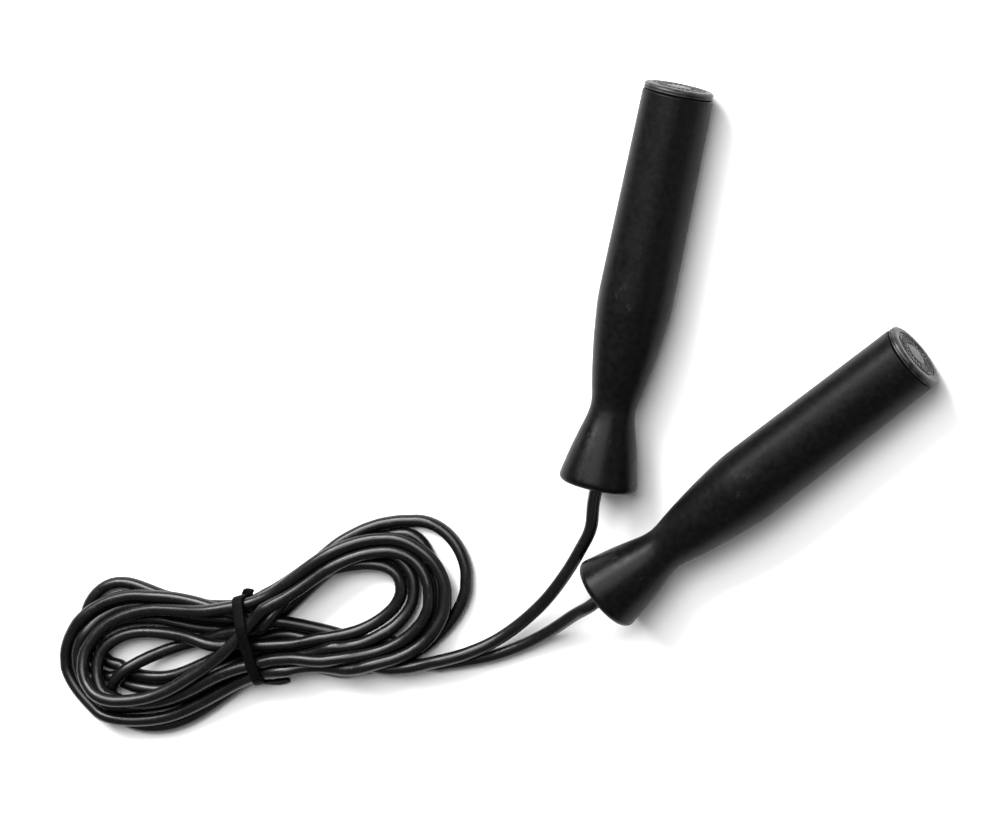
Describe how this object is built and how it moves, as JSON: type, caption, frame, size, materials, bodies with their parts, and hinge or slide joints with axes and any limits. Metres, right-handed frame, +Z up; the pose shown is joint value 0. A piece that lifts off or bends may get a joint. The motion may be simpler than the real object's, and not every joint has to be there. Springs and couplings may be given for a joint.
{
  "type": "jump rope",
  "caption": "Jump rope with rubber-gripped ball-bearing handles that flare at the cord end; its vinyl cord is wound into a figure-eight hank and tied.",
  "frame": {"origin": "on the flat surface that the rope lies on, under the middle of the box round the two handles", "axes": "+Z up from the surface; the handles open towards +Y and +X from the place where their mouths meet; the hank lies towards -X, -Y"},
  "size_m": [0.364, 0.2581, 0.0303],
  "materials": {
    "grip_rubber": "satin black moulded rubber, faint grey bloom",
    "core_plastic": "black moulded ABS",
    "cap_plastic": "black moulded plastic, fine grain",
    "bearing_steel": "ground bearing steel",
    "cage_nylon": "natural nylon",
    "ferrule_brass": "plain brass, crimped",
    "cord_vinyl": "black extruded soft vinyl, satin gloss",
    "strap_vinyl": "black soft vinyl strap"
  },
  "bodies": {
    "rope": {"rope_hank": "cord_vinyl", "tie_strap": "strap_vinyl", "rope_lead_a": "cord_vinyl", "ferrule_a": "ferrule_brass", "stop_washer_a": "bearing_steel", "swivel_sleeve_a": "bearing_steel", "bearing_inner_ring_a": "bearing_steel", "rope_lead_b": "cord_vinyl", "ferrule_b": "ferrule_brass", "stop_washer_b": "bearing_steel", "swivel_sleeve_b": "bearing_steel", "bearing_inner_ring_b": "bearing_steel"},
    "handle_a": {"grip_a": "grip_rubber", "core_a": "core_plastic", "end_cap_a": "cap_plastic", "bearing_outer_ring_a": "bearing_steel", "bearing_retainer_a": "core_plastic"},
    "ball_set_a": {"bearing_cage_a": "cage_nylon", "ball_a1": "bearing_steel", "ball_a2": "bearing_steel", "ball_a3": "bearing_steel", "ball_a4": "bearing_steel", "ball_a5": "bearing_steel", "ball_a6": "bearing_steel", "ball_a7": "bearing_steel", "ball_a8": "bearing_steel"},
    "handle_b": {"grip_b": "grip_rubber", "core_b": "core_plastic", "end_cap_b": "cap_plastic", "bearing_outer_ring_b": "bearing_steel", "bearing_retainer_b": "core_plastic"},
    "ball_set_b": {"bearing_cage_b": "cage_nylon", "ball_b1": "bearing_steel", "ball_b2": "bearing_steel", "ball_b3": "bearing_steel", "ball_b4": "bearing_steel", "ball_b5": "bearing_steel", "ball_b6": "bearing_steel", "ball_b7": "bearing_steel", "ball_b8": "bearing_steel"}
  },
  "joints": [
    {"name": "handle_a_spin", "type": "hinge", "parent": "rope", "child": "handle_a", "pos_m": [-0.05807, -0.04144, 0.01508], "axis": [-0.2215, -0.9751, 0.01], "continuous": true},
    {"name": "ball_set_a_roll", "type": "hinge", "parent": "rope", "child": "ball_set_a", "pos_m": [-0.05807, -0.04144, 0.01508], "axis": [-0.2215, -0.9751, 0.01], "continuous": true},
    {"name": "handle_b_spin", "type": "hinge", "parent": "rope", "child": "handle_b", "pos_m": [-0.05044, -0.08757, 0.01508], "axis": [-0.7975, -0.6032, 0.01], "continuous": true},
    {"name": "ball_set_b_roll", "type": "hinge", "parent": "rope", "child": "ball_set_b", "pos_m": [-0.05044, -0.08757, 0.01508], "axis": [-0.7975, -0.6032, 0.01], "continuous": true}
  ],
  "couplings": [
    {"joint": "ball_set_a_roll", "follows": "handle_a_spin", "ratio": 0.6185},
    {"joint": "ball_set_b_roll", "follows": "handle_b_spin", "ratio": 0.6185}
  ]
}
